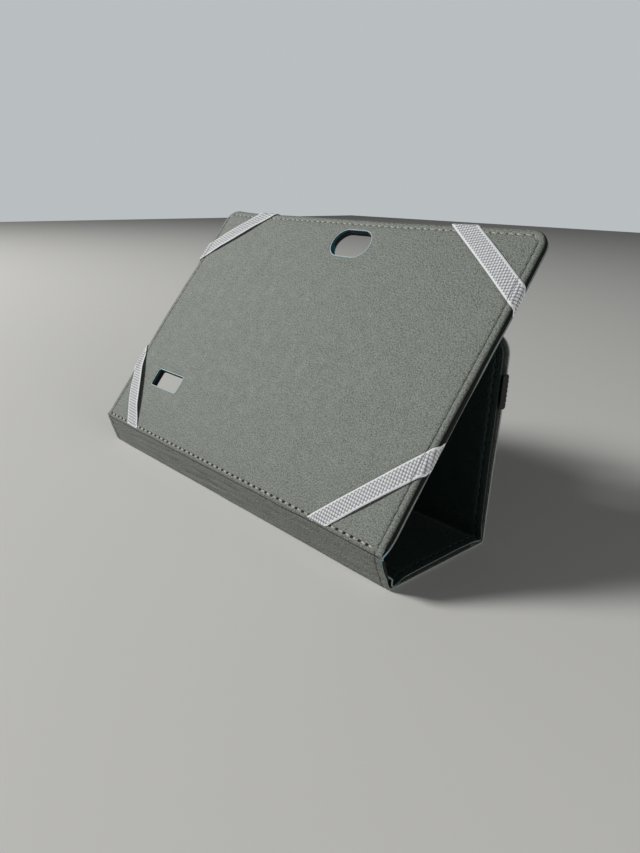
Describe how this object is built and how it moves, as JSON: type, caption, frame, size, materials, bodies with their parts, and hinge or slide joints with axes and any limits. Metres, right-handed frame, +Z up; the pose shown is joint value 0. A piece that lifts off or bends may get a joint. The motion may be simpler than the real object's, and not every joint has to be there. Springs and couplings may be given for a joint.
{
  "type": "folio tablet case",
  "caption": "Folio tablet case folded into an easel stand: padded panel with elastic corner straps, narrow spine, base flap and propping flap with a closure band.",
  "frame": {"origin": "middle of the base flap's underside, on the surface the case stands on", "axes": "+X along the folds to the case's right as a viewer faces the panel, +Y back, from the panel's face to the upright, +Z up"},
  "size_m": [0.2696, 0.1137, 0.1588],
  "materials": {
    "lining_leather": "suede-like grained",
    "outer_leather": "fine grained",
    "board": "plain",
    "foam": "closed cell",
    "thread": "twisted",
    "strap_elastic": "woven",
    "band_elastic": "woven"
  },
  "bodies": {
    "panel": {"panel_face_leather": "lining_leather", "panel_foam": "foam", "panel_board": "board", "panel_back_leather": "outer_leather", "panel_thread": "thread", "panel_fold_strip": "lining_leather", "upper_left_strap_ends": "strap_elastic", "upper_right_strap_ends": "strap_elastic", "lower_left_strap_ends": "strap_elastic", "lower_right_strap_ends": "strap_elastic"},
    "spine": {"spine_face_leather": "lining_leather", "spine_stiffener": "board", "spine_back_leather": "outer_leather", "spine_thread": "thread"},
    "base": {"base_lining_leather": "lining_leather", "base_board": "board", "base_outer_leather": "outer_leather", "base_thread": "thread", "front_fold_strip": "lining_leather", "rear_fold_strip": "lining_leather"},
    "upright": {"upright_lining_leather": "lining_leather", "upright_board": "board", "upright_outer_leather": "outer_leather", "upright_thread": "thread", "closure_band_ends": "band_elastic"},
    "band": {"closure_band": "band_elastic"},
    "strap_upper_left": {"upper_left_strap": "strap_elastic"},
    "strap_upper_right": {"upper_right_strap": "strap_elastic"},
    "strap_lower_left": {"lower_left_strap": "strap_elastic"},
    "strap_lower_right": {"lower_right_strap": "strap_elastic"}
  },
  "joints": [
    {"name": "panel_fold", "type": "hinge", "parent": "panel", "child": "spine", "pos_m": [0, -0.04019, 0.0197], "axis": [-1, 0, 0], "range_deg": [0, 146.8]},
    {"name": "front_fold", "type": "hinge", "parent": "spine", "child": "base", "pos_m": [0, -0.0345, 0.0022], "axis": [-1, 0, 0], "range_deg": [0, 162]},
    {"name": "rear_fold", "type": "hinge", "parent": "base", "child": "upright", "pos_m": [0, 0.0345, 0.0022], "axis": [-1, 0, 0], "range_deg": [0, 87.3]},
    {"name": "upper_left_strap_lift", "type": "slide", "parent": "panel", "child": "strap_upper_left", "axis": [0, -0.7793, 0.6266], "range_m": [0, 0.0065], "stiffness_N_per_m": 60},
    {"name": "upper_right_strap_lift", "type": "slide", "parent": "panel", "child": "strap_upper_right", "axis": [0, -0.7793, 0.6266], "range_m": [0, 0.0065], "stiffness_N_per_m": 60},
    {"name": "lower_left_strap_lift", "type": "slide", "parent": "panel", "child": "strap_lower_left", "axis": [0, -0.7793, 0.6266], "range_m": [0, 0.0065], "stiffness_N_per_m": 60},
    {"name": "lower_right_strap_lift", "type": "slide", "parent": "panel", "child": "strap_lower_right", "axis": [0, -0.7793, 0.6266], "range_m": [0, 0.0065], "stiffness_N_per_m": 60},
    {"name": "band_lift", "type": "slide", "parent": "upright", "child": "band", "axis": [0, 0.9989, -0.0478], "range_m": [0, 0.0018], "stiffness_N_per_m": 200}
  ]
}
